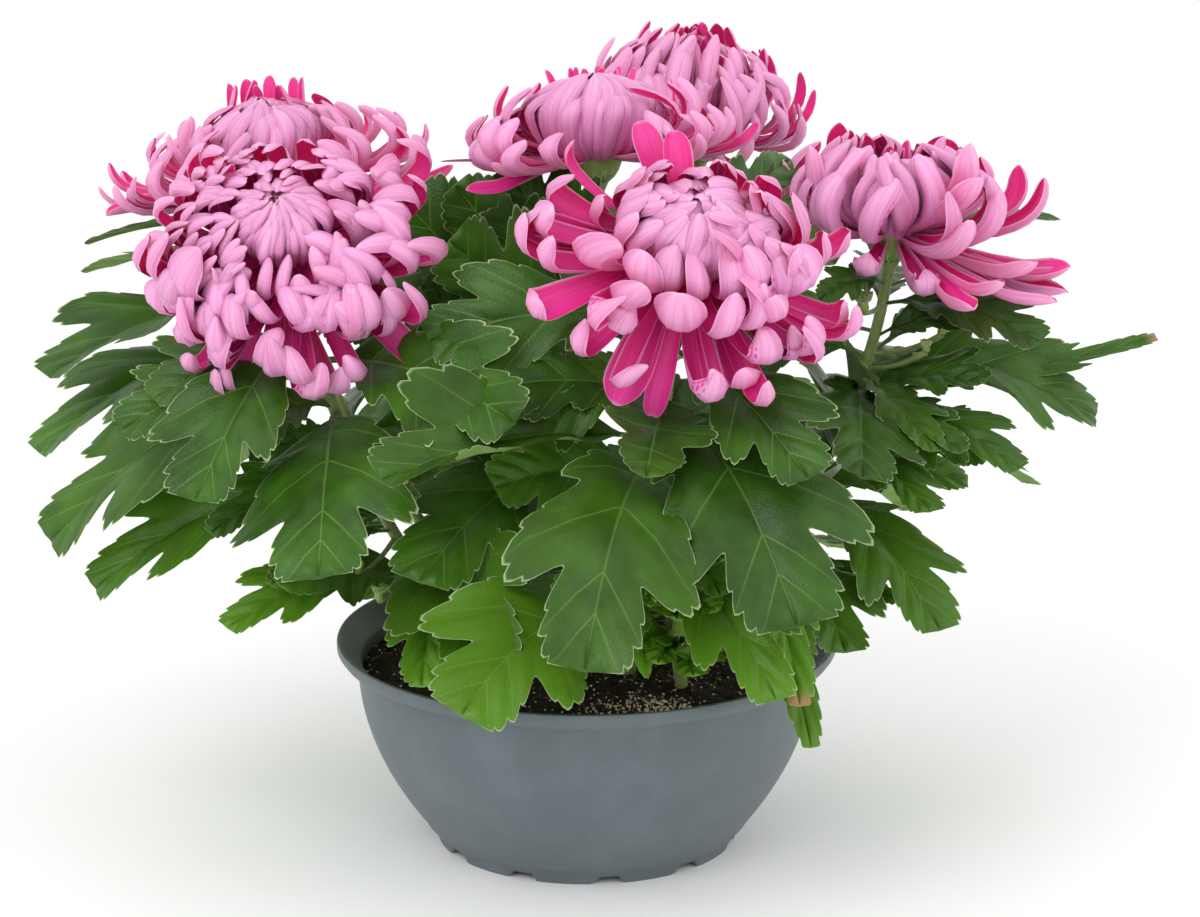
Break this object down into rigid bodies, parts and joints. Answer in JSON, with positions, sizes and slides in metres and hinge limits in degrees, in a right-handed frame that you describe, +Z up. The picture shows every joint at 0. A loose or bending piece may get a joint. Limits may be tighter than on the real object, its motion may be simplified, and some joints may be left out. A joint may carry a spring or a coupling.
{
  "type": "pot chrysanthemum",
  "caption": "Potted chrysanthemum: large incurved many-petalled pink blooms on leafy stems with lobed leaves, growing in soil in a round bowl with a stepped lip and a scalloped foot.",
  "frame": {"origin": "on the bowl's axis at the level its feet stand on", "axes": "+Z up, +X to the right of a viewer in front of the plant, -Y towards that viewer"},
  "size_m": [0.5485, 0.3735, 0.3735],
  "materials": {
    "bowl": "matt moulded polypropylene, slate grey",
    "soil": "crumbly dark brown potting compost of peat and bark",
    "petals": "satin petal, pale lilac pink outside and magenta inside",
    "leaves": "dark green leaf with a soft sheen, pale green stems and veins"
  },
  "bodies": {
    "root": {"bowl": "bowl", "soil": "soil", "bloom_back_left": "petals", "bloom_back_right": "petals", "bloom_front": "petals", "bloom_front_left": "petals", "bloom_middle": "petals", "bloom_right": "petals", "stem_back_left": "leaves", "stem_back_right": "leaves", "stem_front": "leaves", "stem_front_left": "leaves", "stem_middle": "leaves", "stem_right": "leaves", "stem_young": "leaves"}
  },
  "joints": []
}
